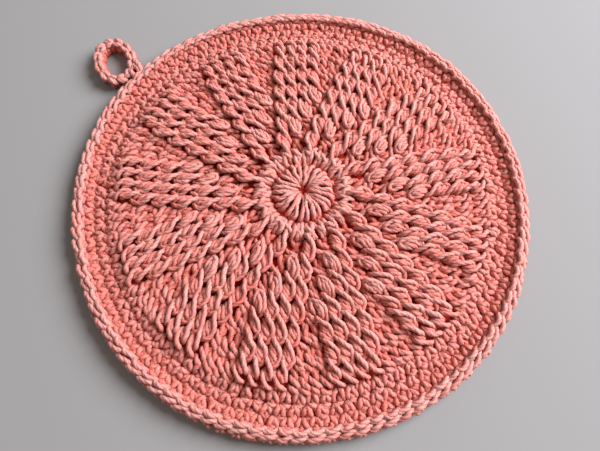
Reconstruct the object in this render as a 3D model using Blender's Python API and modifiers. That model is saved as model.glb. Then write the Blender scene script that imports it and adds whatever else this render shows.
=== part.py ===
"""Round crocheted pot holder: a ribbed panel, a raised edging and a hanging loop.

The panel lies on z = 0 with its centre at the origin and its ribbed face up. Angles are
clock angles: they run clockwise from +Y when the ribbed face is seen from above.
"""
import math
from collections import namedtuple

import bmesh
import bpy

MM = 0.001

# Driving sizes
RADIUS = 100 * MM
SECTORS = 13
SECTOR = 2 * math.pi / SECTORS
FIRST_AXIS = math.radians(190)
GAP = 0.3 * MM

# Rounds of stitches from the centre out. Columns are the raised front post stitches and plain
# the others in one sector, and crest is the height of the plain stitches.
Round = namedtuple("Round", "outer columns plain crest")
ROUNDS = [
    Round(13.5 * MM, 0, 1, 7.7 * MM),
    Round(22.0 * MM, 0, 2, 6.9 * MM),
    Round(30.5 * MM, 1, 1, 6.6 * MM),
    Round(39.0 * MM, 2, 1, 6.5 * MM),
    Round(47.5 * MM, 3, 1, 6.4 * MM),
    Round(56.0 * MM, 4, 1, 6.3 * MM),
    Round(64.5 * MM, 4, 2, 6.2 * MM),
    Round(72.5 * MM, 4, 3, 6.1 * MM),
    Round(81.5 * MM, 4, 4, 6.0 * MM),
    Round(86.5 * MM, 0, 8, 5.6 * MM),
    Round(90.5 * MM, 0, 8, 4.8 * MM),
]
CREST_AT = 0.55            # share of a round's width at which its crest lies
CREASE = 0.9 * MM          # drop of the face between two rounds
PANEL_RADIUS = ROUNDS[-1].outer - GAP / 2
CENTRE_DIMPLE = 1.2 * MM   # drop at the middle of the flower
DIMPLE_RADIUS = 2 * MM

# Raised columns: they run side by side along the sector's axis
COLUMN_PITCH = 5.3 * MM
FIRST_COLUMN = -7.0 * MM   # offset of the first column, clockwise from the sector's axis
COLUMN_DRIFT = 1.0 * MM    # clockwise shift of all columns toward the edge
DRIFT_FROM = 56 * MM
DRIFT_TO = 78 * MM
COLUMN_RISE = 3.0 * MM     # height of a column above the plain stitches
FURROW_RISE = 1.5 * MM     # height of the furrow between two columns
STITCH_RELIEF = 0.35 * MM  # height of single stitches in the two inner rounds
LINES = 11                 # lines of points from the centre out in one sector
FIRST_LINE_LIMIT = math.radians(-24)

# Edging round: stitches, and its section from the inner foot over the lip to the outer foot
EDGE_STITCHES = 104
EDGE_SECTION = [
    (90.5 * MM + GAP / 2, 0.0),
    (90.5 * MM + GAP / 2, 4.6 * MM),
    (92.6 * MM, 6.0 * MM),
    (94.8 * MM, 6.9 * MM),
    (96.0 * MM, 6.5 * MM),
    (97.6 * MM, 7.0 * MM),
    (99.3 * MM, 5.8 * MM),
    (100.0 * MM, 3.6 * MM),
    (99.4 * MM, 1.2 * MM),
    (98.2 * MM, 0.0),
]
CHAIN_BULGE = 0.3 * MM     # outward swell of each edge stitch
CHAIN_FROM = 96.5 * MM

# Slow unevenness of the outline: waves around it, their height and their first crest
Wave = namedtuple("Wave", "count height crest")
WAVES = [
    Wave(2, 0.25 * MM, math.radians(106)),
    Wave(3, 0.57 * MM, math.radians(57)),
    Wave(4, 0.52 * MM, math.radians(33)),
]

# How far the middle of the work sits off the middle of the outline
MIDDLE_SHIFT = (1.0 * MM, 1.5 * MM)

# Hanging loop: a band standing on its edge, bent to an oval
LOOP_CENTRE = (-89.6 * MM, 70.2 * MM)
LOOP_TURN = math.radians(-23)   # clock angle of the oval's long axis
LOOP_LONG = 10.9 * MM
LOOP_SHORT = 7.7 * MM
BAND_THICKNESS = 4.2 * MM
BAND_HEIGHT = 6.6 * MM
BASE_THICKNESS = 6.0 * MM       # where the two ends of the band are worked into the edging
BASE_NARROWNESS = 6             # higher is a shorter base
BAND_CORNERS = 0.7              # 1 is an oval band, and lower is squarer
FOOT_SINK = 1.08                # how far the band reaches below its flat foot before that is cut
STITCH_SWELL = 0.06
LOOP_STITCHES = 14
LOOP_STEPS = 4 * LOOP_STITCHES
BAND_SIDES = 12

YARN_COLOUR = (0.77, 0.23, 0.17, 1.0)
YARN_ROUGHNESS = 0.85


def smooth_step(value, low, high):
    """Rise from 0 to 1 as value goes from low to high."""
    t = min(max((value - low) / (high - low), 0.0), 1.0)
    return t * t * (3 - 2 * t)


def outline_swell(clock):
    """Outward shift of the outline at a clock angle."""
    return sum(w.height * math.cos(w.count * (clock - w.crest)) for w in WAVES)


def on_disc(radius, clock, height):
    """Point at a radius and clock angle, shifted with the uneven outline and middle."""
    share = (radius / RADIUS) ** 2
    reach = radius + outline_swell(clock) * share
    x = reach * math.sin(clock) + MIDDLE_SHIFT[0] * (1 - share)
    y = reach * math.cos(clock) + MIDDLE_SHIFT[1] * (1 - share)
    return x, y, height


def clear_scene():
    for obj in list(bpy.data.objects):
        bpy.data.objects.remove(obj, do_unlink=True)


def make_collection(name):
    collection = bpy.data.collections.new(name)
    bpy.context.scene.collection.children.link(collection)
    return collection


def yarn_material(name):
    material = bpy.data.materials.new(name)
    material.use_nodes = True
    shader = material.node_tree.nodes["Principled BSDF"]
    shader.inputs["Base Color"].default_value = YARN_COLOUR
    shader.inputs["Roughness"].default_value = YARN_ROUGHNESS
    shader.inputs["Metallic"].default_value = 0.0
    return material


def add_object(name, mesh, collection):
    mesh.name = name
    mesh.materials.clear()
    mesh.materials.append(yarn_material(name + "_yarn"))
    mesh.shade_smooth()
    obj = bpy.data.objects.new(name, mesh)
    collection.objects.link(obj)
    return obj


def turned_mesh(section, steps, closed):
    """Turn a section of (radius, height) points around Z and return the mesh."""
    edges = [(i, i + 1) for i in range(len(section) - 1)]
    if closed:
        edges.append((len(section) - 1, 0))
    profile = bpy.data.meshes.new("profile")
    profile.from_pydata([(radius, 0.0, height) for radius, height in section], edges, [])
    obj = bpy.data.objects.new("profile", profile)
    bpy.context.scene.collection.objects.link(obj)
    screw = obj.modifiers.new("turn", "SCREW")
    screw.steps = steps
    screw.render_steps = steps
    screw.use_merge_vertices = True
    screw.merge_threshold = 0.00005
    depsgraph = bpy.context.evaluated_depsgraph_get()
    mesh = bpy.data.meshes.new_from_object(obj.evaluated_get(depsgraph))
    bpy.data.objects.remove(obj)
    bpy.data.meshes.remove(profile)
    return mesh


def face_out(mesh):
    """Turn all faces of a closed mesh outward and split them into triangles."""
    shape = bmesh.new()
    shape.from_mesh(mesh)
    bmesh.ops.recalc_face_normals(shape, faces=shape.faces)
    bmesh.ops.triangulate(shape, faces=shape.faces)
    shape.to_mesh(mesh)
    shape.free()


def column_offset(index, radius):
    """Distance of a column from the sector's axis."""
    drift = COLUMN_DRIFT * smooth_step(radius, DRIFT_FROM, DRIFT_TO)
    return FIRST_COLUMN + drift + index * COLUMN_PITCH


def line_angles(columns, radius):
    """Angles of the lines of points in one sector, measured from its axis."""
    half = COLUMN_PITCH / 2
    first = column_offset(0, radius) - half
    start = math.asin(max(first / radius, math.sin(FIRST_LINE_LIMIT)))
    angles = [start]
    for step in range(1, 2 * columns + 1):
        angles.append(math.asin((first + step * half) / radius))
    left = LINES + 1 - len(angles)
    end = start + SECTOR
    last = angles[-1]
    angles += [last + (end - last) * i / left for i in range(1, left)]
    return angles


def line_rises(full, begun):
    """Heights of a sector's lines over the plain stitches.

    The first columns, full in number, stand at their height, and the ones up to begun only
    start there, level with the plain stitches.
    """
    rises = [0.0] * LINES
    for step in range(1, 2 * begun):
        column = (step - 1) // 2
        if column < full:
            is_crest = step % 2 == 1
            in_furrow = column + 1 < full
            rises[step] = COLUMN_RISE if is_crest else FURROW_RISE * in_furrow
    return rises


def stitch_relief(ring, line):
    """Rise or fall of the face over single stitches, in the rounds before the columns begin."""
    if ring.columns or ring.plain not in (1, 2):
        return 0.0
    return -STITCH_RELIEF * math.cos(2 * math.pi * ring.plain * line / LINES)


def panel_rings():
    """Rings of points over the face, one on each round's crest and one at its outer crease."""
    Ring = namedtuple("Ring", "radius crest columns begun plain")
    rings = []
    inner = 0.0
    for index, item in enumerate(ROUNDS):
        outer = min(item.outer, PANEL_RADIUS)
        following = ROUNDS[min(index + 1, len(ROUNDS) - 1)]
        if index == 0:
            rings.append(Ring(DIMPLE_RADIUS, item.crest - CENTRE_DIMPLE, 0, 0, item.plain))
        middle = inner + CREST_AT * (outer - inner)
        rings.append(Ring(middle, item.crest, item.columns, item.columns, item.plain))
        joint = min(item.crest, following.crest) - CREASE * (index + 1 < len(ROUNDS))
        full = min(item.columns, following.columns)
        begun = max(item.columns, following.columns)
        rings.append(Ring(outer, joint, full, begun, 0))
        inner = item.outer
    return rings


def make_panel(collection):
    """Round panel with a flat underside, whose face rises in columns, ribs and rounds."""
    rings = panel_rings()
    section = [(0.0, ROUNDS[0].crest - 2 * CENTRE_DIMPLE)]
    section += [(ring.radius, ring.crest) for ring in rings]
    section += [(PANEL_RADIUS, 0.0), (0.0, 0.0)]
    steps = SECTORS * LINES
    mesh = turned_mesh(section, steps, closed=False)
    for vertex in mesh.vertices:
        x, y, height = vertex.co
        radius = math.hypot(x, y)
        if radius < DIMPLE_RADIUS / 2:
            continue
        ring = min(rings, key=lambda item: abs(item.radius - radius))
        step = round((math.pi / 2 - math.atan2(y, x)) / (2 * math.pi) * steps) % steps
        sector, line = divmod(step, LINES)
        clock = FIRST_AXIS + sector * SECTOR + line_angles(ring.begun, radius)[line]
        if height > 0:
            height += line_rises(ring.columns, ring.begun)[line]
            height += stitch_relief(ring, line)
        vertex.co = on_disc(radius, clock, height)
    face_out(mesh)
    return add_object("panel", mesh, collection)


def make_edging(collection):
    """Ring of edge stitches around the panel, standing above it as a lip."""
    steps = 2 * EDGE_STITCHES
    mesh = turned_mesh(EDGE_SECTION, steps, closed=True)
    for vertex in mesh.vertices:
        x, y, height = vertex.co
        radius = math.hypot(x, y)
        clock = math.pi / 2 - math.atan2(y, x)
        if radius > CHAIN_FROM and height > 0:
            radius += CHAIN_BULGE * math.cos(EDGE_STITCHES * clock)
        vertex.co = on_disc(radius, clock, height)
    face_out(mesh)
    return add_object("edging", mesh, collection)


def loop_point(turn, across, up):
    """Point on the loop's band: across is outward from its middle line."""
    east = (LOOP_SHORT + across) * math.sin(turn)
    north = (LOOP_LONG + across) * math.cos(turn)
    cos_turn = math.cos(LOOP_TURN)
    sin_turn = math.sin(LOOP_TURN)
    x = LOOP_CENTRE[0] + east * cos_turn + north * sin_turn
    y = LOOP_CENTRE[1] - east * sin_turn + north * cos_turn
    return x, y, up


def squared(value):
    """Share of the band's half size, with the corners filled out."""
    return math.copysign(abs(value) ** BAND_CORNERS, value)


def make_edge_cutter(collection):
    """Disc a little larger than the edging, which keeps the loop clear of it."""
    bpy.ops.mesh.primitive_cylinder_add(vertices=2 * EDGE_STITCHES, depth=4 * BAND_HEIGHT,
                                        radius=RADIUS + CHAIN_BULGE + GAP)
    cutter = bpy.context.object
    cutter.name = "edge_cutter"
    for vertex in cutter.data.vertices:
        x, y, height = vertex.co
        vertex.co = on_disc(math.hypot(x, y), math.pi / 2 - math.atan2(y, x), height)
    for owner in list(cutter.users_collection):
        owner.objects.unlink(cutter)
    collection.objects.link(cutter)
    cutter.hide_render = True
    cutter.display_type = "WIRE"
    return cutter


def make_loop(collection, cutter):
    """Hanging loop: an oval band on its edge, with a notch over each of its stitches."""
    bpy.ops.mesh.primitive_torus_add(major_segments=LOOP_STEPS, minor_segments=BAND_SIDES,
                                     major_radius=1.0, minor_radius=0.25)
    torus = bpy.context.object
    mesh = torus.data.copy()
    bpy.data.objects.remove(torus)
    base_turn = math.atan2(-LOOP_CENTRE[0], -LOOP_CENTRE[1]) - LOOP_TURN
    for vertex in mesh.vertices:
        x, y, z = vertex.co
        turn = math.pi / 2 - math.atan2(y, x)
        side = math.atan2(z, math.hypot(x, y) - 1.0)
        near_base = max(math.cos(turn - base_turn), 0.0) ** BASE_NARROWNESS
        thickness = BAND_THICKNESS + (BASE_THICKNESS - BAND_THICKNESS) * near_base
        swell = 1.0 + STITCH_SWELL * math.cos(LOOP_STITCHES * turn)
        across = thickness / 2 * swell * squared(math.cos(side))
        up = BAND_HEIGHT / 2 * (1 + FOOT_SINK * swell * squared(math.sin(side)))
        vertex.co = loop_point(turn, across, max(up, 0.0))
    face_out(mesh)
    loop = add_object("hanging_loop", mesh, collection)
    cut = loop.modifiers.new("clear_of_edging", "BOOLEAN")
    cut.operation = "DIFFERENCE"
    cut.solver = "EXACT"
    cut.object = cutter
    return loop


def main():
    clear_scene()
    parts = make_collection("crocheted_pot_holder")
    cutters = make_collection("cutters")
    make_panel(parts)
    make_edging(parts)
    make_loop(parts, make_edge_cutter(cutters))


main()
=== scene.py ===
"""Looks of the crocheted pot holder: its stitches are strands of yarn that replace the solids."""
import math
from collections import namedtuple

import bpy
import numpy as np
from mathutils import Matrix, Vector


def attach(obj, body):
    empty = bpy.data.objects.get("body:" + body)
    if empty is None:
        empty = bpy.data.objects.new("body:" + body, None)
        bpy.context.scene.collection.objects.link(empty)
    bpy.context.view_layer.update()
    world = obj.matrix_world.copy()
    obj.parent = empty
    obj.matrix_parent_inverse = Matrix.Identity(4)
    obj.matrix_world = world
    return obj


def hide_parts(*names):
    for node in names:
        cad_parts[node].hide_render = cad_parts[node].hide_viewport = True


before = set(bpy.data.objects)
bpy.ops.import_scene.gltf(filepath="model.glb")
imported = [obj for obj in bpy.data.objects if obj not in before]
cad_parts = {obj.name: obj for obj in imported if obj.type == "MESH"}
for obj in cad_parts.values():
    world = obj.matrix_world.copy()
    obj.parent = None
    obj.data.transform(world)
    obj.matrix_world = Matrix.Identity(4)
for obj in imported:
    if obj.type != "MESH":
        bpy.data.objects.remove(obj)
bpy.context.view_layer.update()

MM = 0.001
RANDOM = np.random.default_rng(8)

# The disc, as in the part, in millimetres. Clock angles run clockwise from +Y, seen from above.
RADIUS = 100.0
SECTORS = 13
SECTOR = 2 * math.pi / SECTORS
FIRST_AXIS = math.radians(190)
MIDDLE_SHIFT = (1.0, 1.5)    # shift of the disc's middle toward +X and +Y

# Waves of the outline: their number around it, their height and the clock angle of a crest
Wave = namedtuple("Wave", "count height crest")
WAVES = [
    Wave(2, 0.25, math.radians(106)),
    Wave(3, 0.57, math.radians(57)),
    Wave(4, 0.52, math.radians(33)),
]

# Rounds of the ribbed panel: radii, and the raised columns and plain stitches in a sector
Round = namedtuple("Round", "inner outer columns plain")
RIBBED = [
    Round(22.0, 30.5, 1, 1),
    Round(30.5, 39.0, 2, 1),
    Round(39.0, 47.5, 3, 1),
    Round(47.5, 56.0, 4, 1),
    Round(56.0, 64.5, 4, 2),
    Round(64.5, 72.5, 4, 3),
    Round(72.5, 81.0, 4, 4),
]
EDGE_STITCHES = 104          # stitches in each round outside the ribs
COLUMN_PITCH = 5.3
FIRST_COLUMN = -7.0          # offset of the first column, clockwise from the sector's axis
COLUMN_DRIFT = 1.0           # clockwise shift of the columns toward the edge
DRIFT_FROM = 56.0
DRIFT_TO = 78.0

# Yarn, in millimetres
YARN = 1.15                  # radius of the yarn
PLIES = 3
PLY_HALF = 0.42              # half the angle between the two points on the crest of a ply
PLY_VALLEY = 0.80            # reach of the valley between two plies, as a share of the radius
PLAIN_SIDES = 6              # points around the plain yarn of the underside
TWIST = 8.0                  # length of one full turn of the plies
RING_STEP = 0.8              # distance between the rings of points along plied yarn
PLAIN_STEP = 1.7             # the same for plain yarn
FEWEST_STEPS = 4             # steps between rings in the shortest strands
TAPER_RINGS = 2.0            # rings over which a strand's end tapers
THINNEST = 0.42              # girth of a thin start, as a share of the full girth
LOWEST = 0.1                 # height of the lowest yarn, where it is pressed on the table
TINY = 1e-9                  # keeps a division by a vector's length safe

# Unevenness of the handwork
JITTER = 0.20                # of each point of a strand, and of the strand as a whole
STRAND_JITTER = (1.0, 1.0, 0.6)    # share of it that shifts a whole strand along X, Y and Z
GIRTH_JITTER = 0.06

# Painted light on the yarn, as shares of its crest colour: painted highlight on a strand's outer
# side and high parts, painted shade on its inner side, where it sinks and at its ends
INNER_SHARE = 0.7            # painted shade on the side of a strand that faces into the cloth
FACINGS = (-0.3, 0.9)        # outward parts of the normal between that side and the outer one
SUNK_SHARE = 0.15            # painted shade where a strand goes down between its neighbours
SUNK_HEIGHTS = (-2.6, -0.2)  # heights, from the strand's top, between that and the full share
END_SHARE = 0.3              # painted shade at the middle of a strand's ends

# Cells of the UV map
CELL_SHAPE = 1.5             # length over girth of a strand's cell
CELL_MARGIN = 0.06
CAP_REACH = 0.03             # how far the middle of a strand's end lies past the strip


def smooth_step(value, low, high):
    """Share from 0 at low to 1 at high, soft at both."""
    t = np.clip((value - low) / (high - low), 0.0, 1.0)
    return t * t * (3 - 2 * t)


def outline_swell(clock):
    """Outward shift of the outline at clock angles."""
    return sum(w.height * np.cos(w.count * (clock - w.crest)) for w in WAVES)


def lie_on_disc(points):
    """Shift points with the disc's uneven outline and middle."""
    x, y = points[..., 0], points[..., 1]
    radius = np.hypot(x, y)
    grow = 1 + outline_swell(np.arctan2(x, y)) * radius / RADIUS ** 2
    inside = 1 - (radius / RADIUS) ** 2
    x = x * grow + MIDDLE_SHIFT[0] * inside
    y = y * grow + MIDDLE_SHIFT[1] * inside
    return np.stack([x, y, points[..., 2]], -1)


def placed(strand, clocks, across, outward):
    """Copies of a strand of local points (clockwise, outward, up), one for each stitch.

    A stitch's frame points outward along its clock angle, and starts across and outward of
    the disc's centre.
    """
    strand = np.asarray(strand, float)
    clocks, across, outward = np.broadcast_arrays(clocks, across, outward)
    out = np.stack([np.sin(clocks), np.cos(clocks)], -1)[:, None]
    right = np.stack([np.cos(clocks), -np.sin(clocks)], -1)[:, None]
    side = across[:, None, None] + strand[None, :, :1]
    forth = outward[:, None, None] + strand[None, :, 1:2]
    flat = right * side + out * forth
    up = np.broadcast_to(strand[None, :, 2:], flat.shape[:2] + (1,))
    return np.concatenate([flat, up], -1)


def ring_placed(strand, clocks, radius):
    """Copies of a strand bent around the disc: local points are (clockwise, outward, up)."""
    strand = np.asarray(strand, float)
    reach = radius + strand[None, :, 1]
    turn = np.asarray(clocks)[:, None] + strand[None, :, 0] / radius
    up = np.broadcast_to(strand[None, :, 2], turn.shape)
    return np.stack([reach * np.sin(turn), reach * np.cos(turn), up], -1)


def smooth_strands(points, steps):
    """Smooth (Catmull-Rom) curves through the control points of several strands."""
    before = 2 * points[:, :1] - points[:, 1:2]
    after = 2 * points[:, -1:] - points[:, -2:-1]
    p = np.concatenate([before, points, after], axis=1)
    spans = points.shape[1] - 1
    t = np.linspace(0, spans, steps + 1)
    i = np.minimum(t.astype(int), spans - 1)
    f = (t - i)[None, :, None]
    a, b, c, d = p[:, i], p[:, i + 1], p[:, i + 2], p[:, i + 3]
    bend = (2 * a - 5 * b + 4 * c - d) * f ** 2 + (3 * b - a - 3 * c + d) * f ** 3
    return 0.5 * (2 * b + (c - a) * f + bend)


def uneven_paths(control, jitter, on_disc, step):
    """Paths of strands through their control points, with the unevenness of handwork."""
    control = np.array(control, float)
    control += RANDOM.normal(0, jitter, control.shape)
    control += RANDOM.normal(0, jitter, (len(control), 1, 3)) * STRAND_JITTER
    if on_disc:
        control = lie_on_disc(control)
    length = np.linalg.norm(np.diff(control, axis=1), axis=2).sum(1).mean()
    return smooth_strands(control, max(int(round(length / step)), FEWEST_STEPS))


def unit(vectors):
    """Vectors made one long."""
    return vectors / (np.linalg.norm(vectors, axis=-1, keepdims=True) + TINY)


def frames_along(path):
    """Two directions across each path at its points, which start upright and don't twist."""
    tangent = unit(np.gradient(path, axis=1))
    normal = np.zeros_like(path)
    carried = np.tile([0.0, 0.0, 1.0], (len(path), 1))
    for ring in range(path.shape[1]):
        t = tangent[:, ring]
        carried = unit(carried - (carried * t).sum(1, keepdims=True) * t)
        normal[:, ring] = carried
    return normal, np.cross(tangent, normal)


def lengths_along(path):
    """Length of each path up to each of its points."""
    along = np.zeros(path.shape[:2])
    along[:, 1:] = np.cumsum(np.linalg.norm(np.diff(path, axis=1), axis=2), 1)
    return along


def girths_along(along, width, taper, thin_start):
    """Radii of the strands at their points, with tapered ends and, if asked, a thin start."""
    count, rings = along.shape
    share = np.linspace(0, 1, rings)
    end = np.minimum(share, 1 - share) * rings / TAPER_RINGS
    girth = YARN * width * (taper + (1 - taper) * np.clip(end, 0, 1))
    girth = girth * (1 + RANDOM.normal(0, GIRTH_JITTER, (count, 1)))
    if thin_start:
        girth = girth * (THINNEST + (1 - THINNEST) * smooth_step(along, 0.0, thin_start))
    return girth


def tube_faces(rings, around):
    """Faces of one tube: the quads between its rings, and the triangles on its two ends."""
    i, j = np.meshgrid(np.arange(rings - 1), np.arange(around), indexing="ij")
    k = (j + 1) % around
    quads = np.stack([i * around + j, i * around + k, (i + 1) * around + k,
                      (i + 1) * around + j], -1).reshape(-1, 4)
    j = np.arange(around)
    k = (j + 1) % around
    last_ring = (rings - 1) * around
    first = np.stack([k, j, np.full(around, rings * around)], -1)
    last = np.stack([last_ring + j, last_ring + k, np.full(around, rings * around + 1)], -1)
    return quads, first, last


def painted_light_shares(path, facing, face, pale):
    """Painted light on the points: most of the crest colour on a strand's outer side and where it
    is high, painted shade on its inner side and where it sinks.
    """
    outer = INNER_SHARE + (1 - INNER_SHARE) * smooth_step(facing * face, *FACINGS)
    height = path[:, :, 2] * face
    rise = height - height.max(1)[:, None]
    high = pale * (SUNK_SHARE + (1 - SUNK_SHARE) * smooth_step(rise, *SUNK_HEIGHTS))
    shares = (outer * high[:, :, None]).reshape(len(path), -1)
    ends = np.full((len(path), 2), END_SHARE)
    return np.concatenate([shares, ends], 1).ravel()


def strip_corners(rings, around):
    """Share along and around a strand at the corners of its quads, first and last end."""
    i, j = np.meshgrid(np.arange(rings - 1), np.arange(around), indexing="ij")
    along = np.stack([i, i, i + 1, i + 1], -1).reshape(-1) / (rings - 1)
    turn = np.stack([j, j + 1, j + 1, j], -1).reshape(-1) / around
    j = np.arange(around)
    first_turn = np.stack([j + 1, j, j + 0.5], -1).reshape(-1) / around
    last_turn = np.stack([j, j + 1, j + 0.5], -1).reshape(-1) / around
    first_along = np.tile([0.0, 0.0, -CAP_REACH], around)
    last_along = np.tile([1.0, 1.0, 1 + CAP_REACH], around)
    return (along, turn), (first_along, first_turn), (last_along, last_turn)


# Points around the yarn: their angles, their reach, 1 for each in a groove, and the rings' step
Section = namedtuple("Section", "angles reach groove step")


def plied_section():
    """Two points on the crest of each ply, and one in the valley after it."""
    ply = 2 * math.pi / PLIES
    angles = [[k * ply - PLY_HALF, k * ply + PLY_HALF, k * ply + ply / 2] for k in range(PLIES)]
    reach = np.tile([1.0, 1.0, PLY_VALLEY], PLIES)
    groove = np.tile([0.0, 0.0, 1.0], PLIES)
    return Section(np.concatenate(angles), reach, groove, RING_STEP)


def plain_section():
    """Points of a plain round yarn."""
    angles = 2 * math.pi * np.arange(PLAIN_SIDES) / PLAIN_SIDES
    return Section(angles, np.ones(PLAIN_SIDES), np.zeros(PLAIN_SIDES), PLAIN_STEP)


class Yarn:
    """Collects strands of yarn and makes one mesh object of them.

    Face is 1 for strands that are seen from above, and -1 from below.
    """

    def __init__(self, name, face, section):
        self.name = name
        self.face = face
        self.section = section
        self.points = []
        self.quads = []
        self.triangles = []
        self.attributes = {"groove": [], "tone": [], "crest": []}
        self.quad_corners = []
        self.triangle_corners = []
        self.strands = 0
        self.vertex_count = 0

    def add(self, control, width=1.0, taper=0.75, jitter=JITTER, thin_start=0.0, on_disc=True,
            pale=1.0):
        """Lay strands through control points (strands, points, xyz) in millimetres.

        Width and taper are the girth of the strands and of their ends, as shares of the yarn's
        and of that girth, thin_start is the length over which they swell from thin, and the last
        argument is their share of painted light, low for strands that lie in painted shade.
        """
        path = uneven_paths(control, jitter, on_disc, self.section.step)
        normal, side = frames_along(path)
        along = lengths_along(path)
        count, rings = along.shape
        around = len(self.section.angles)
        turn = RANDOM.uniform(0, 2 * math.pi, (count, 1)) + 2 * math.pi * along / TWIST
        girth = girths_along(along, width, taper, thin_start)

        angle = turn[:, :, None] + self.section.angles
        reach = girth[:, :, None] * self.section.reach
        points = (path[:, :, None] + normal[:, :, None] * (np.cos(angle) * reach)[..., None]
                  + side[:, :, None] * (np.sin(angle) * reach)[..., None])
        points = points.reshape(count, rings * around, 3)
        self.points.append(np.concatenate([points, path[:, [0, -1]]], 1).reshape(-1, 3))

        # Painted light: points that face out of the cloth, and high ones, get more of the crest
        # colour
        facing = normal[:, :, None, 2] * np.cos(angle) + side[:, :, None, 2] * np.sin(angle)
        groove = np.concatenate([np.tile(self.section.groove, rings), [0.0, 0.0]])
        size = rings * around + 2
        self.attributes["crest"].append(painted_light_shares(path, facing, self.face, pale))
        self.attributes["groove"].append(np.tile(groove, count))
        self.attributes["tone"].append(np.repeat(RANDOM.uniform(0, 1, count), size))
        self.add_faces(count, rings, around, size)

    def add_faces(self, count, rings, around, size):
        """Faces of strands of one size, and the places of their corners in the UV map."""
        base = self.vertex_count + np.arange(count)[:, None, None] * size
        quads, first, last = tube_faces(rings, around)
        self.quads.append((base + quads).reshape(-1, 4))
        self.triangles.append((base + first).reshape(-1, 3))
        self.triangles.append((base + last).reshape(-1, 3))
        strand = self.strands + np.arange(count)
        corners = [(np.repeat(strand, len(along)), np.tile(along, count), np.tile(turn, count))
                   for along, turn in strip_corners(rings, around)]
        self.quad_corners.append(corners[0])
        self.triangle_corners += corners[1:]
        self.vertex_count += count * size
        self.strands += count

    def make_mesh(self):
        """Mesh of all the strands, in metres."""
        points = np.concatenate(self.points)
        points[:, 2] = np.maximum(points[:, 2], LOWEST)
        points = points * MM
        quads = np.concatenate(self.quads)
        triangles = np.concatenate(self.triangles)
        loops = np.concatenate([quads.ravel(), triangles.ravel()]).astype(np.int32)
        sizes = np.concatenate([np.full(len(quads), 4), np.full(len(triangles), 3)])
        starts = np.concatenate([[0], np.cumsum(sizes)[:-1]]).astype(np.int32)
        mesh = bpy.data.meshes.new(self.name)
        mesh.vertices.add(len(points))
        mesh.vertices.foreach_set("co", points.astype(np.float32).ravel())
        mesh.loops.add(len(loops))
        mesh.loops.foreach_set("vertex_index", loops)
        mesh.polygons.add(len(sizes))
        mesh.polygons.foreach_set("loop_start", starts)
        mesh.update(calc_edges=True)
        mesh.validate()
        return mesh

    def unwrap(self, mesh):
        """UV map with a cell of its own for each strand."""
        rows = math.ceil(math.sqrt(self.strands * CELL_SHAPE))
        columns = math.ceil(self.strands / rows)
        corners = zip(*(self.quad_corners + self.triangle_corners))
        strand, along, turn = (np.concatenate(values) for values in corners)
        cell = 1 - 2 * CELL_MARGIN
        u = (strand % columns + CELL_MARGIN + cell * along) / columns
        v = (strand // columns + CELL_MARGIN + cell * turn) / rows
        layer = mesh.uv_layers.new(name="OFBake")
        layer.data.foreach_set("uv", np.stack([u, v], -1).astype(np.float32).ravel())

    def crease_valleys(self, mesh, groove):
        """Sharp edges in the valleys between the plies, on the otherwise smooth yarn."""
        mesh.shade_smooth()
        edges = np.empty(len(mesh.edges) * 2, np.int32)
        mesh.edges.foreach_get("vertices", edges)
        sharp = (groove[edges.reshape(-1, 2)] > 0.5).all(1)
        mesh.attributes.new("sharp_edge", "BOOLEAN", "EDGE").data.foreach_set("value", sharp)

    def finish(self, material):
        """Mesh object of all the strands."""
        mesh = self.make_mesh()
        values = {name: np.concatenate(parts).astype(np.float32)
                  for name, parts in self.attributes.items()}
        for name in values:
            attribute = mesh.attributes.new(name, "FLOAT", "POINT")
            attribute.data.foreach_set("value", values[name])
        self.unwrap(mesh)
        self.crease_valleys(mesh, values["groove"])
        return add_object(self.name, mesh, material)


def add_object(name, mesh, material):
    """Object in the scene with the mesh and material."""
    mesh.materials.append(material)
    made = bpy.data.objects.new(name, mesh)
    bpy.context.scene.collection.objects.link(made)
    return made


# Colours of the yarn: painted highlight on the crests of its strands, painted shade on their sides
# (also the darker end of each strand's random tone), and deep in its fibres
PAINTED_HIGHLIGHT = (0.595, 0.32, 0.29)
PAINTED_SHADE_AND_TONE = (0.56, 0.125, 0.092)
DEEP = (0.52, 0.045, 0.025)

# Colour and deep colour of the cloth inside the panel and inside the edging: dark red that paints
# the shade in the gaps between the stitches
PANEL_INSIDE_SHADE = ((0.42, 0.03, 0.018), (0.27, 0.017, 0.011))
EDGING_INSIDE_SHADE = ((0.5, 0.075, 0.04), (0.36, 0.035, 0.02))

YARN_SHADER = {
    "Roughness": 0.7,
    "Specular IOR Level": 0.3,
    "Sheen Weight": 0.12,
    "Sheen Roughness": 0.4,
    "Sheen Tint": (1.0, 0.6, 0.5, 1),
    "Subsurface Weight": 0.35,
    "Subsurface Radius": (1.0, 0.25, 0.17),
    "Subsurface Scale": 0.0012,
}
INSIDE_SHADER = {"Roughness": 0.9, "Specular IOR Level": 0.0}
FLOOR_SHADER = {
    "Base Color": (0.27, 0.266, 0.265, 1),
    "Roughness": 0.9,
    "Specular IOR Level": 0.1,
}

# Fibres: the scale and detail of their noise, and its range that goes from clear to deep
YARN_FIBRE_SCALE = 900
YARN_FIBRE_RANGE = (0.35, 0.75)
INSIDE_FIBRE_SCALE = 500
INSIDE_FIBRE_RANGE = (0.35, 0.7)
FIBRE_DETAIL = 3
FIBRE_BUMP = 0.4
FIBRE_DEPTH = 0.0002

# Most of the side or deep colour that a strand's tone and its fibres mix in, and the painted shade
# that its grooves between plies take
TONE_MIX = 0.3
FIBRE_MIX = 0.25
GROOVE_PAINTED_SHADE = 0.3

# Sockets of the mix node that belong to colours
MIX_FACTOR = 0
MIX_FIRST = 6
MIX_SECOND = 7
MIX_RESULT = 2


def node(tree, kind, **values):
    """New node with some of its properties set."""
    made = tree.nodes.new(kind)
    for name, value in values.items():
        setattr(made, name, value)
    return made


def attribute(tree, name):
    """Socket of a value that the mesh holds for each point."""
    return node(tree, "ShaderNodeAttribute", attribute_name=name).outputs["Fac"]


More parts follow.
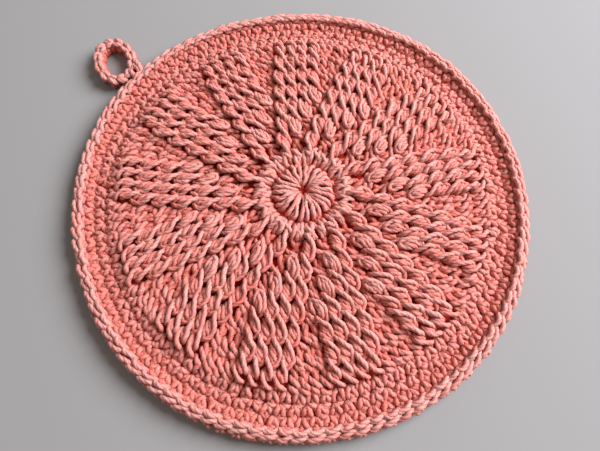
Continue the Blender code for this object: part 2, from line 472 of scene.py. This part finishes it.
def mix_colours(tree, factor, first, second):
    """Mix of two colours, each a tuple or a socket."""
    mix = node(tree, "ShaderNodeMix", data_type="RGBA")
    tree.links.new(factor, mix.inputs[MIX_FACTOR])
    for socket, value in ((mix.inputs[MIX_FIRST], first), (mix.inputs[MIX_SECOND], second)):
        if isinstance(value, tuple):
            socket.default_value = (*value, 1)
        else:
            tree.links.new(value, socket)
    return mix.outputs[MIX_RESULT]


def ranged(tree, value, low, high, most):
    """Value mapped so that low gives 0 and high gives the most."""
    scale = node(tree, "ShaderNodeMapRange")
    for name, number in (("From Min", low), ("From Max", high), ("To Min", 0), ("To Max", most)):
        scale.inputs[name].default_value = number
    tree.links.new(value, scale.inputs["Value"])
    return scale.outputs["Result"]


def fibre_noise(tree, scale):
    """Noise of the fibres, fixed to the object."""
    place = node(tree, "ShaderNodeTexCoord").outputs["Object"]
    texture = node(tree, "ShaderNodeTexNoise")
    texture.inputs["Scale"].default_value = scale
    texture.inputs["Detail"].default_value = FIBRE_DETAIL
    tree.links.new(place, texture.inputs["Vector"])
    return texture.outputs["Fac"]


def new_material(name, settings):
    """Material with constant settings on its shader, and that shader."""
    material = bpy.data.materials.new(name)
    material.use_nodes = True
    shader = material.node_tree.nodes["Principled BSDF"]
    for socket, value in settings.items():
        shader.inputs[socket].default_value = value
    return material, shader


def yarn_material():
    """Matt cotton with painted light: a light painted highlight on the crests of the strands,
    painted shade on their sides, where they sink and between plies.
    """
    material, shader = new_material("pink_cotton", YARN_SHADER)
    tree = material.node_tree
    fibre = fibre_noise(tree, YARN_FIBRE_SCALE)
    tone_share = ranged(tree, attribute(tree, "tone"), 0, 1, TONE_MIX)
    fibre_share = ranged(tree, fibre, *YARN_FIBRE_RANGE, FIBRE_MIX)
    groove_shade = ranged(tree, attribute(tree, "groove"), 0, 1, GROOVE_PAINTED_SHADE)
    # Painted light: the crest attribute mixes the painted highlight over the painted shade
    colour = mix_colours(tree, attribute(tree, "crest"), PAINTED_SHADE_AND_TONE, PAINTED_HIGHLIGHT)
    colour = mix_colours(tree, tone_share, colour, PAINTED_SHADE_AND_TONE)
    colour = mix_colours(tree, fibre_share, colour, DEEP)
    # Painted shade in the valleys between plies
    colour = mix_colours(tree, groove_shade, colour, PAINTED_SHADE_AND_TONE)
    tree.links.new(colour, shader.inputs["Base Color"])
    bump = node(tree, "ShaderNodeBump")
    bump.inputs["Strength"].default_value = FIBRE_BUMP
    bump.inputs["Distance"].default_value = FIBRE_DEPTH
    tree.links.new(fibre, bump.inputs["Height"])
    tree.links.new(bump.outputs["Normal"], shader.inputs["Normal"])
    return material


def inside_shade_material(name, colour, deep_colour):
    """Cloth inside, seen only between the stitches: dark to paint the shade in the gaps."""
    material, shader = new_material(name, INSIDE_SHADER)
    tree = material.node_tree
    fibre = fibre_noise(tree, INSIDE_FIBRE_SCALE)
    share = ranged(tree, fibre, *INSIDE_FIBRE_RANGE, 1)
    tree.links.new(mix_colours(tree, share, colour, deep_colour), shader.inputs["Base Color"])
    return material


def column_offset(index, radius):
    """Distance of a column from its sector's axis, clockwise, at a radius."""
    drift = COLUMN_DRIFT * smooth_step(radius, DRIFT_FROM, DRIFT_TO)
    return FIRST_COLUMN + drift + index * COLUMN_PITCH


def sector_axes():
    """Clock angles of the sectors' axes."""
    return FIRST_AXIS + SECTOR * np.arange(SECTORS)


# Strands of a raised column stitch, in millimetres: clockwise, outward from the round's inner
# edge, and height. A bent strand lies over the post, and three wraps cross the post beside it.
# Each stitch lists its strands with their share of painted light, low for strands that lie in
# shade.
OVER_STRAND = [(2.9, -3.2, 5.8), (2.3, -2.3, 7.4), (1.4, -0.9, 8.5), (0.2, 0.7, 9.1),
               (-1.0, 2.2, 9.0), (-1.9, 3.9, 8.4), (-2.2, 5.7, 7.8), (-1.8, 7.4, 7.5),
               (-0.8, 8.7, 7.0), (0.4, 9.7, 5.7)]
LOWER_WRAP = [(-1.5, 5.2, 6.6), (-0.6, 4.3, 7.8), (0.5, 3.0, 8.0), (1.4, 1.6, 7.5), (1.9, 0.4, 6.0)]
MIDDLE_WRAP = [(-1.2, 6.9, 6.4), (-0.3, 5.9, 7.9), (0.8, 4.5, 8.1), (1.7, 3.0, 7.5),
               (2.1, 1.9, 6.0)]
UPPER_WRAP = [(-0.6, 8.3, 6.2), (0.3, 7.5, 7.5), (1.3, 6.1, 7.8), (2.0, 4.6, 7.3), (2.4, 3.4, 5.9)]
COLUMN_STITCH = [(OVER_STRAND, 1.0), (LOWER_WRAP, 0.4), (MIDDLE_WRAP, 0.55), (UPPER_WRAP, 0.4)]

# In the last round the strand ends below an arch
LAST_OVER = [(2.9, -3.3, 5.9), (2.3, -2.4, 7.4), (1.5, -0.9, 8.4), (0.7, 0.9, 8.8),
             (-0.1, 2.8, 8.6), (-0.7, 4.4, 7.9), (-0.9, 5.8, 6.6)]
LAST_ARCH = [(2.9, 1.8, 5.8), (3.0, 3.2, 7.2), (2.5, 5.1, 8.0), (1.3, 6.9, 8.1), (-0.3, 8.0, 7.6),
             (-1.8, 8.6, 6.2)]
LAST_INNER = [(1.8, 1.4, 6.4), (1.7, 3.0, 7.4), (1.0, 4.6, 7.7), (0.0, 6.0, 7.3)]
# Each strand with its share of painted light, low where it lies in shade
LAST_STITCH = [(LAST_OVER, 1.0), (LAST_ARCH, 0.8), (LAST_INNER, 0.4)]

# The stitch that starts a column beside the others is a drop: a slanting loop around two
# inner strands
DROP_LOOP = [(-0.4, 9.4, 5.8), (-1.6, 8.0, 7.2), (-2.1, 5.8, 8.0), (-2.0, 3.6, 8.4),
             (-1.1, 1.3, 8.4), (0.3, -0.6, 8.0), (1.7, -1.2, 7.5), (2.4, 0.2, 7.5), (2.2, 2.6, 7.7),
             (1.7, 4.8, 7.2)]
DROP_CORE = [(-0.5, 7.8, 6.8), (-0.7, 5.4, 8.1), (-0.5, 3.2, 8.5), (0.4, 1.1, 8.2), (1.2, 0.1, 7.2)]
DROP_SIDE = [(0.4, 7.0, 6.6), (0.6, 5.0, 7.8), (0.9, 3.0, 8.1), (1.5, 1.2, 7.7)]
# Each strand with its share of painted light, low where it lies in shade
DROP_STITCH = [(DROP_LOOP, 0.9), (DROP_CORE, 0.75), (DROP_SIDE, 0.6)]
COLUMN_WIDTH = 0.93          # thickness of a column's strands, as a share of the yarn's


def column_stitch(number, index):
    """Stitch of one column in one round."""
    if number > 0 and index == RIBBED[number - 1].columns:
        return DROP_STITCH
    if number == len(RIBBED) - 1:
        return LAST_STITCH
    return COLUMN_STITCH


def columns(yarn, sectors):
    """Raised columns of front post stitches on some of the sectors."""
    axes = sector_axes()[sectors]
    for number, item in enumerate(RIBBED):
        middle = (item.inner + item.outer) / 2
        for index in range(item.columns):
            across = column_offset(index, middle)
            outward = math.sqrt(item.inner ** 2 - across ** 2)
            for strand, pale in column_stitch(number, index):
                strands = placed(strand, axes, across, outward)
                yarn.add(strands, width=COLUMN_WIDTH, pale=pale)


# Strands of a plain stitch between the ribs
POST_A = [(1.2, -1.2, 3.7), (1.1, 0.6, 5.3), (0.5, 2.4, 5.8), (-0.6, 4.4, 5.6), (-1.3, 6.2, 4.6)]
POST_B = [(-1.3, -1.2, 3.7), (-1.2, 0.6, 5.1), (-0.8, 2.2, 5.2), (0.1, 3.9, 5.0), (1.2, 5.6, 4.8)]
TOP_FRONT = [(-2.8, 7.9, 4.8), (-1.5, 7.2, 6.1), (0.2, 6.1, 6.4), (1.7, 4.7, 5.9), (2.5, 3.4, 4.8)]
TOP_BACK = [(-1.9, 9.7, 4.6), (-0.5, 9.1, 5.9), (1.2, 8.2, 6.2), (2.8, 6.8, 5.0)]
# Each strand with its share of painted light, low where it lies in shade
PLAIN_STITCH = [(POST_A, 0.24), (POST_B, 0.14), (TOP_FRONT, 0.6), (TOP_BACK, 0.48)]
PLAIN_DRAWN = 4.6            # width of the plain stitch as listed
PLAIN_STRETCH = 1.35         # most that it is stretched to fill its place
PLAIN_WIDTH = 1.06
PLAIN_JITTER = 0.28


def gap_between_columns(item):
    """Clock angles, from a sector's axis, between which its plain stitches stand."""
    middle = (item.inner + item.outer) / 2
    half = COLUMN_PITCH / 2
    last = math.asin((column_offset(item.columns - 1, middle) + half) / middle)
    following = math.asin((column_offset(0, middle) - half) / middle)
    return last, SECTOR + following


def plain_stitches(yarn):
    """Plain stitches in the valleys between the ribs."""
    for item in RIBBED:
        start, end = gap_between_columns(item)
        width = (end - start) / item.plain
        middle = (item.inner + item.outer) / 2
        stretch = min(width * middle / PLAIN_DRAWN, PLAIN_STRETCH)
        for number in range(item.plain):
            clocks = sector_axes() + start + (number + 0.5) * width
            for strand, pale in PLAIN_STITCH:
                shaped = np.array(strand) * (stretch, 1, 1)
                strands = placed(shaped, clocks, 0.0, item.inner)
                yarn.add(strands, width=PLAIN_WIDTH, jitter=PLAIN_JITTER, pale=pale)


# Strands of a petal of the flower round, from the disc's centre outward
PETAL_A = [(-0.3, 1.6, 4.6), (-0.4, 3.0, 6.9), (-0.6, 5.4, 7.9), (-1.0, 8.0, 8.4),
           (-1.5, 10.6, 8.1), (-1.4, 12.4, 6.8), (-0.8, 13.2, 4.6)]
PETAL_B = [(0.3, 1.6, 4.6), (0.4, 3.0, 6.8), (0.5, 5.4, 7.8), (0.6, 8.0, 8.2), (0.9, 10.6, 8.1),
           (1.7, 12.3, 7.0), (2.5, 12.9, 4.8)]
PETAL_CORE = [(-0.1, 7.0, 4.6), (-0.3, 9.2, 6.2), (-0.1, 11.4, 6.8), (0.3, 12.9, 6.0),
              (0.7, 13.6, 4.4)]
# Each strand with its share of painted light, low where it lies in shade
PETAL = [(PETAL_A, 1.0), (PETAL_B, 0.85), (PETAL_CORE, 0.3)]
PETAL_TURN = math.radians(-12.3)
PETAL_WIDTH = 0.9
PETAL_TAPER = 0.45
PETAL_JITTER = 0.28
PETAL_THIN = 8.0             # length over which a petal's strands swell from the middle
FLOWER_RADIUS = 13.8
HOLE_SHIFT = (0.0, 1.6)      # shift of the flower's hole from its centre

# Strands of a tall stitch of the round outside the flower, two of them in each sector
TALL_A = [(-0.7, -1.0, 3.6), (-1.1, 0.2, 5.6), (-1.4, 2.2, 7.2), (-1.4, 4.8, 7.6), (-0.8, 7.8, 6.4)]
TALL_B = [(0.9, -1.0, 3.6), (1.0, 0.2, 5.5), (1.0, 2.2, 6.9), (0.9, 4.8, 7.3), (1.1, 7.8, 6.2)]
TALL_C = [(-2.0, 7.0, 5.6), (-1.0, 5.5, 7.4), (0.4, 4.0, 8.0), (1.7, 2.8, 7.0), (2.2, 2.0, 5.8)]
# Each strand with its share of painted light, low where it lies in shade
TALL_STITCH = [(TALL_A, 0.9), (TALL_B, 0.7), (TALL_C, 0.9)]
TALL_TURNS = (math.radians(-19.2), math.radians(-5.35))
TALL_FOOT = 14.4             # radius of its foot
TALL_JITTER = 0.34


def off_centre(points):
    """Shift the points near the middle, where the flower's hole is a little off its centre."""
    radius = np.hypot(points[..., 0], points[..., 1])
    near = np.clip(1 - radius / FLOWER_RADIUS, 0, 1)[..., None]
    return points + near * (HOLE_SHIFT[0], HOLE_SHIFT[1], 0.0)


def flower(yarn):
    """Flower round at the centre and the tall stitches around it."""
    clocks = sector_axes() + PETAL_TURN
    for strand, pale in PETAL:
        strands = off_centre(placed(strand, clocks, 0.0, 0.0))
        yarn.add(strands, width=PETAL_WIDTH, taper=PETAL_TAPER, jitter=PETAL_JITTER,
                 thin_start=PETAL_THIN, pale=pale)
    for turn in TALL_TURNS:
        clocks = sector_axes() + turn
        for strand, pale in TALL_STITCH:
            yarn.add(placed(strand, clocks, 0.0, TALL_FOOT), jitter=TALL_JITTER, pale=pale)


# Strands of an edge stitch: a V whose legs meet at its inner end, a link across its outer end,
# and the loops of the round inside it, which show within the V and beside its foot
V_LEFT = [(0.5, -0.7, -1.8), (-0.2, 0.0, 0.1), (-0.7, 1.1, 0.9), (-1.3, 2.2, 0.7),
          (-1.7, 3.1, -0.1), (-1.9, 3.9, -1.6)]
V_RIGHT = [(-0.4, -0.6, -2.0), (0.4, 0.0, 0.1), (1.0, 1.0, 0.8), (1.5, 2.1, 0.7), (1.7, 3.0, -0.1),
           (1.8, 3.8, -1.6)]
V_LINK = [(-2.0, 4.0, -1.2), (-0.8, 4.6, 0.0), (0.7, 4.7, 0.1), (2.0, 4.2, -1.0)]
V_CORE = [(0.1, 2.0, -1.0), (0.0, 3.0, 0.0), (-0.1, 4.2, 0.0), (-0.2, 5.2, -1.2)]
V_FOOT = [(2.7, -0.6, -1.4), (2.65, 0.3, -0.3), (2.55, 1.4, -0.3), (2.45, 2.4, -1.2)]
# Each strand with its share of painted light, low where it lies in shade
V_STITCH = [(V_LEFT, 1.0), (V_RIGHT, 0.85), (V_LINK, 0.8), (V_CORE, 0.5), (V_FOOT, 0.4)]
V_DRAWN = 5.3                # width of the V stitch as listed

# Edge rounds: radius and height at the inner end, how steeply and far the stitches go outward,
# how thick their strands are, their share of painted light, and how uneven they are
EdgeRound = namedtuple("EdgeRound", "radius height climb reach width pale jitter")
LOW_ROUNDS = [
    EdgeRound(81.6, 4.8, -0.12, 1.06, 1.0, 0.7, 0.22),
    EdgeRound(87.2, 3.9, -0.10, 0.86, 1.0, 0.55, 0.20),
]
WALL_ROUND = EdgeRound(91.3, 3.6, 0.45, 0.76, 1.04, 0.45, 0.16)

# Where the first stitch of a round stands, in stitches clockwise from the first sector's axis
LOW_START = 0.3
LOW_LAG = 0.35               # added for each low round
EDGING_START = 0.1
BACK_EDGE_START = 0.4


def edge_clocks(start):
    """Clock angles of the stitches of an edge round."""
    return FIRST_AXIS + 2 * math.pi * (np.arange(EDGE_STITCHES) + start) / EDGE_STITCHES


def v_stitches(yarn, item, clocks):
    """A round of V stitches."""
    pitch = 2 * math.pi * item.radius / EDGE_STITCHES
    for strand, pale in V_STITCH:
        shaped = np.array(strand) * (pitch / V_DRAWN, item.reach, 1)
        shaped[:, 2] += item.height + item.climb * shaped[:, 1]
        strands = ring_placed(shaped, clocks, item.radius)
        yarn.add(strands, width=item.width, jitter=item.jitter, pale=pale * item.pale)


def low_rounds(yarn):
    """The two low rounds at the panel's edge."""
    for number, item in enumerate(LOW_ROUNDS):
        v_stitches(yarn, item, edge_clocks(LOW_START + LOW_LAG * number))


# Chain on the lip, as clockwise, radius and height: an inner and an outer strand in each link,
# and the posts down its outer side
CHAIN_INNER = [(-3.9, 94.7, 5.4), (-2.6, 95.0, 6.6), (-0.8, 95.6, 7.3), (1.2, 95.9, 7.3),
               (2.9, 95.5, 6.7), (4.0, 94.9, 5.4)]
CHAIN_OUTER = [(-4.4, 96.2, 5.2), (-2.9, 96.8, 6.4), (-1.0, 97.5, 6.9), (1.0, 98.1, 6.7),
               (2.9, 98.3, 6.1), (4.2, 98.0, 4.9)]
SIDE_LEFT = [(0.4, 98.9, 5.0), (-0.6, 99.0, 3.8), (-1.2, 98.7, 2.2), (-0.6, 97.8, 1.1)]
SIDE_RIGHT = [(2.0, 98.9, 5.0), (1.8, 99.1, 3.6), (1.0, 98.7, 2.2), (0.6, 97.8, 1.1)]
CHAIN_RADIUS = 98.0
EDGING_JITTER = 0.16


def edging(yarn):
    """Inner wall of the edging, the chain on its lip and its outer side."""
    clocks = edge_clocks(EDGING_START)
    v_stitches(yarn, WALL_ROUND, clocks)
    for strand in (CHAIN_INNER, CHAIN_OUTER, SIDE_LEFT, SIDE_RIGHT):
        shaped = np.array(strand) - (0, CHAIN_RADIUS, 0)
        yarn.add(ring_placed(shaped, clocks, CHAIN_RADIUS), jitter=EDGING_JITTER)


# Strands of the underside: two posts and the bars that lie across them
BACK_POST = [(1.5, -0.8, 2.2), (1.2, 0.9, 1.5), (0.4, 3.2, 1.35), (-0.4, 5.4, 1.4),
             (-0.8, 7.4, 2.1)]
BACK_POST_2 = [(-0.9, -0.8, 2.3), (-1.1, 0.9, 1.7), (-1.6, 3.2, 1.6), (-2.2, 5.4, 1.7),
               (-2.6, 7.2, 2.3)]
BACK_TOP = [(-3.0, 8.2, 2.0), (-1.5, 7.4, 1.4), (0.1, 7.6, 1.3), (1.6, 8.4, 1.4), (3.0, 8.4, 2.1)]
BACK_BAR = [(-2.9, 4.6, 2.1), (-1.5, 3.9, 1.5), (0.1, 3.6, 1.35), (1.6, 4.0, 1.5), (2.9, 4.8, 2.1)]
BACK_DRAWN = (5.2, 8.5)      # width and reach of the stitch as listed
BACK_LAG = 0.37              # turn from one round to the next, in stitches
BACK_JITTER = 0.12

# Rounds of the underside: inner radius, outer radius and number of stitches
BACK_ROUNDS = [(3.0, 13.5, 13), (13.5, 22.0, 26)]
BACK_ROUNDS += [(r.inner, r.outer, SECTORS * (r.columns + r.plain)) for r in RIBBED]
BACK_ROUNDS += [(81.0, 86.5, EDGE_STITCHES), (86.5, 91.0, EDGE_STITCHES)]


def underside(yarn, part):
    """Flat wrong side of some of the rounds, with two posts and two bars for each stitch."""
    for number, (inner, outer, count) in list(enumerate(BACK_ROUNDS))[part]:
        clocks = FIRST_AXIS + 2 * math.pi * (np.arange(count) + BACK_LAG * number) / count
        pitch = 2 * math.pi * (inner + outer) / 2 / count
        for strand in (BACK_POST, BACK_POST_2, BACK_TOP, BACK_BAR):
            size = (pitch / BACK_DRAWN[0], (outer - inner) / BACK_DRAWN[1], 1)
            shaped = np.array(strand) * size
            yarn.add(ring_placed(shaped, clocks, inner), jitter=BACK_JITTER)


# Strands of the edging's underside, as clockwise, radius and height
BACK_EDGE = [(-3.4, 97.2, 2.0), (-1.7, 97.2, 1.4), (0.0, 96.6, 1.3), (1.7, 95.8, 1.4),
             (3.4, 95.8, 2.0)]
BACK_EDGE_POST = [(1.6, 90.6, 2.2), (1.2, 92.0, 1.5), (0.4, 93.8, 1.35), (-0.2, 95.6, 1.9)]
BACK_EDGE_POST_2 = [(-1.2, 90.6, 2.2), (-1.4, 92.0, 1.6), (-2.0, 93.8, 1.5), (-2.6, 95.4, 2.0)]
BACK_EDGE_RADIUS = 95.0
BACK_EDGE_JITTER = 0.1


def edging_underside(yarn):
    """Flat wrong side of the edging."""
    clocks = edge_clocks(BACK_EDGE_START)
    for strand in (BACK_EDGE, BACK_EDGE_POST, BACK_EDGE_POST_2):
        shaped = np.array(strand) - (0, BACK_EDGE_RADIUS, 0)
        yarn.add(ring_placed(shaped, clocks, BACK_EDGE_RADIUS), jitter=BACK_EDGE_JITTER)


# Hanging loop: an oval band, turned so that its long way is near +Y
LOOP_CENTRE = (-89.6, 70.2)
LOOP_TURN = math.radians(-23)
LOOP_LONG = 10.9
LOOP_SHORT = 7.7
LOOP_STITCHES = 12
LOOP_WIDTH = 1.12
LOOP_JITTER = 0.1

# Strands of the loop: the chain on the band, the posts on its two faces, and its foot
LINK_INNER = [(-2.6, -0.6, 4.6), (-1.2, -1.0, 5.6), (0.6, -0.7, 5.8), (2.4, 0.2, 5.2)]
LINK_OUTER = [(-2.6, 0.9, 4.4), (-1.0, 1.5, 5.4), (0.8, 1.1, 5.8), (2.6, 0.3, 5.0)]
BAND_INNER = [(0.4, -1.1, 5.0), (-0.2, -1.4, 3.4), (0.3, -1.3, 1.8), (1.2, -0.8, 1.0)]
BAND_INNER_2 = [(2.2, -1.1, 5.0), (2.0, -1.4, 3.4), (1.5, -1.3, 1.8), (0.6, -0.8, 1.0)]
BAND_OUTER = [(0.2, 1.2, 4.8), (-0.4, 1.5, 3.2), (0.2, 1.4, 1.8), (1.2, 0.8, 1.0)]
BAND_FOOT = [(-2.6, 0.2, 1.2), (-0.8, -0.4, 1.15), (0.8, 0.5, 1.15), (2.6, 0.0, 1.2)]
# Each strand with its share of painted light, low where it lies in shade
LOOP_STITCH = [(LINK_INNER, 1.0), (LINK_OUTER, 1.0), (BAND_INNER, 0.3), (BAND_INNER_2, 0.3),
               (BAND_OUTER, 0.7), (BAND_FOOT, 0.4)]

# Strands that join the loop to the lip, as X, Y and height
JOINS = [
    [(-81.6, 71.8, 4.8), (-79.6, 69.4, 5.8), (-77.6, 66.8, 6.3), (-76.2, 64.2, 6.1),
     (-75.4, 62.4, 4.8)],
    [(-82.2, 70.4, 3.4), (-80.0, 68.2, 4.3), (-78.4, 66.4, 4.8), (-77.0, 64.6, 4.6),
     (-76.2, 63.0, 4.0)],
    [(-82.4, 68.6, 4.6), (-80.2, 67.4, 5.8), (-78.2, 65.4, 6.3), (-76.9, 63.0, 6.0),
     (-76.6, 61.2, 4.8)],
    [(-84.0, 65.2, 4.4), (-82.0, 64.2, 5.6), (-80.2, 62.4, 6.2), (-79.0, 60.4, 6.0),
     (-78.6, 58.6, 4.8)],
]
JOIN_WIDTH = 1.1


def around_loop(strand, turns):
    """Copies of a strand bent around the loop: local points are (along, outward, up)."""
    strand = np.asarray(strand, float)
    turn = np.asarray(turns)[:, None] + strand[None, :, 0] / (LOOP_LONG + LOOP_SHORT) * 2
    east = (LOOP_SHORT + strand[None, :, 1]) * np.sin(turn)
    north = (LOOP_LONG + strand[None, :, 1]) * np.cos(turn)
    x = LOOP_CENTRE[0] + east * math.cos(LOOP_TURN) + north * math.sin(LOOP_TURN)
    y = LOOP_CENTRE[1] - east * math.sin(LOOP_TURN) + north * math.cos(LOOP_TURN)
    up = np.broadcast_to(strand[None, :, 2], turn.shape)
    return np.stack([x, y, up], -1)


def hanging_loop(yarn):
    """Stitches of the hanging loop, and the strands that join it to the lip."""
    turns = 2 * math.pi * np.arange(LOOP_STITCHES) / LOOP_STITCHES
    for strand, pale in LOOP_STITCH:
        strands = around_loop(strand, turns)
        yarn.add(strands, width=LOOP_WIDTH, jitter=LOOP_JITTER, on_disc=False, pale=pale)
    yarn.add(JOINS, width=JOIN_WIDTH, jitter=LOOP_JITTER, on_disc=False)


# Sections of the two bodies inside the stitches, as radius and height
PANEL_BODY = [(0.3, 5.0), (12.0, 5.4), (22.0, 4.6), (40.0, 4.2), (60.0, 4.0), (80.0, 3.9),
              (90.4, 3.0), (90.4, 1.6), (86.0, 1.4), (40.0, 1.4), (0.3, 1.4)]
EDGING_BODY = [(90.9, 1.2), (90.9, 2.8), (93.2, 3.4), (94.8, 4.4), (95.6, 5.9), (97.6, 5.3),
               (98.2, 3.0), (97.8, 1.8), (94.5, 1.4)]
BODY_STEPS = 208             # steps around a body


def turned_body(name, section, material):
    """Closed body turned around Z from a closed section."""
    clocks = 2 * math.pi * np.arange(BODY_STEPS) / BODY_STEPS
    rows = len(section)
    radius, height = np.array(section, float).T
    points = np.stack([np.sin(clocks)[:, None] * radius, np.cos(clocks)[:, None] * radius,
                       np.broadcast_to(height, (BODY_STEPS, rows))], -1)
    points = lie_on_disc(points).reshape(-1, 3) * MM
    faces = []
    for step in range(BODY_STEPS):
        here = step * rows
        there = (step + 1) % BODY_STEPS * rows
        for row in range(rows):
            following = (row + 1) % rows
            faces.append((here + row, here + following, there + following, there + row))
    mesh = bpy.data.meshes.new(name)
    mesh.from_pydata(points, [], faces)
    mesh.update()
    mesh.shade_smooth()
    return add_object(name, mesh, material)


# Pieces of yarn on the upper side and on the underside: name, maker and the node they replace
UPPER_PIECES = [
    ("columns_a", lambda yarn: columns(yarn, slice(0, 7)), "panel"),
    ("columns_b", lambda yarn: columns(yarn, slice(7, 13)), "panel"),
    ("plain_stitches", plain_stitches, "panel"),
    ("flower_stitches", flower, "panel"),
    ("low_rounds", low_rounds, "panel"),
    ("edging_stitches", edging, "edging"),
    ("loop_stitches", hanging_loop, "hanging_loop"),
]
UNDER_PIECES = [
    ("underside_middle", lambda yarn: underside(yarn, slice(0, 7)), "panel"),
    ("underside_outer", lambda yarn: underside(yarn, slice(7, None)), "panel"),
    ("underside_edging", edging_underside, "edging"),
]


def yarn_pieces(makers, face, section, material):
    """Objects made of strands, with the nodes that they replace."""
    pieces = []
    for name, fill, stands_for in makers:
        yarn = Yarn(name, face, section)
        fill(yarn)
        pieces.append((yarn.finish(material), stands_for))
    return pieces


def dress():
    """Make the visible pieces, and hide the parts that they replace."""
    cotton = yarn_material()
    panel_inside_shade = inside_shade_material("pink_cotton_inside_shade", *PANEL_INSIDE_SHADE)
    panel_body = turned_body("panel_cloth", PANEL_BODY, panel_inside_shade)
    edging_inside_shade = inside_shade_material("pink_cotton_rim_shade", *EDGING_INSIDE_SHADE)
    edging_body = turned_body("edging_cloth", EDGING_BODY, edging_inside_shade)
    pieces = yarn_pieces(UPPER_PIECES, 1, plied_section(), cotton)
    pieces += yarn_pieces(UNDER_PIECES, -1, plain_section(), cotton)
    pieces += [(panel_body, "panel"), (edging_body, "edging")]
    for piece, stands_for in pieces:
        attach(piece, "root")
        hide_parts(stands_for)


# Surroundings, in metres: a plain floor, one soft light and the light of the room
FLOOR_SIZE = 4
KEY_PLACE = (0.82, 0.32, 0.71)
KEY_SIZE = 0.8
KEY_POWER = 31.5
KEY_COLOUR = (0.97, 0.99, 1.04)
ROOM_COLOUR = (1.0, 0.85, 0.77, 1)
ROOM_STRENGTH = 0.40

# Camera
PICTURE_WIDTH = 600          # in pixels
FOCAL_LENGTH = 491.8         # in pixels
SENSOR_WIDTH = 36            # in millimetres
CAMERA_PLACE = (-0.0025, -0.0817, 0.2053)
CAMERA_TURN = (math.radians(18.89), math.radians(-0.6), 0.0)


def make_floor():
    bpy.ops.mesh.primitive_plane_add(size=FLOOR_SIZE)
    floor = bpy.context.object
    floor.name = "floor"
    material, _ = new_material("pale_floor", FLOOR_SHADER)
    floor.data.materials.append(material)


def make_lights():
    data = bpy.data.lights.new("key", "AREA")
    data.shape = "DISK"
    data.size = KEY_SIZE
    data.energy = KEY_POWER
    data.color = KEY_COLOUR
    light = bpy.data.objects.new("key", data)
    light.location = KEY_PLACE
    light.rotation_euler = (-Vector(KEY_PLACE)).to_track_quat("-Z", "Y").to_euler()
    bpy.context.scene.collection.objects.link(light)
    world = bpy.data.worlds.new("studio")
    world.use_nodes = True
    background = world.node_tree.nodes["Background"]
    background.inputs["Color"].default_value = ROOM_COLOUR
    background.inputs["Strength"].default_value = ROOM_STRENGTH
    bpy.context.scene.world = world


def make_camera():
    data = bpy.data.cameras.new("camera")
    data.sensor_width = SENSOR_WIDTH
    data.lens = FOCAL_LENGTH / PICTURE_WIDTH * SENSOR_WIDTH
    camera = bpy.data.objects.new("camera", data)
    camera.location = CAMERA_PLACE
    camera.rotation_euler = CAMERA_TURN
    bpy.context.scene.collection.objects.link(camera)
    bpy.context.scene.camera = camera


dress()
make_floor()
make_lights()
make_camera()
bpy.context.scene.view_settings.view_transform = "Standard"
bpy.context.view_layer.update()
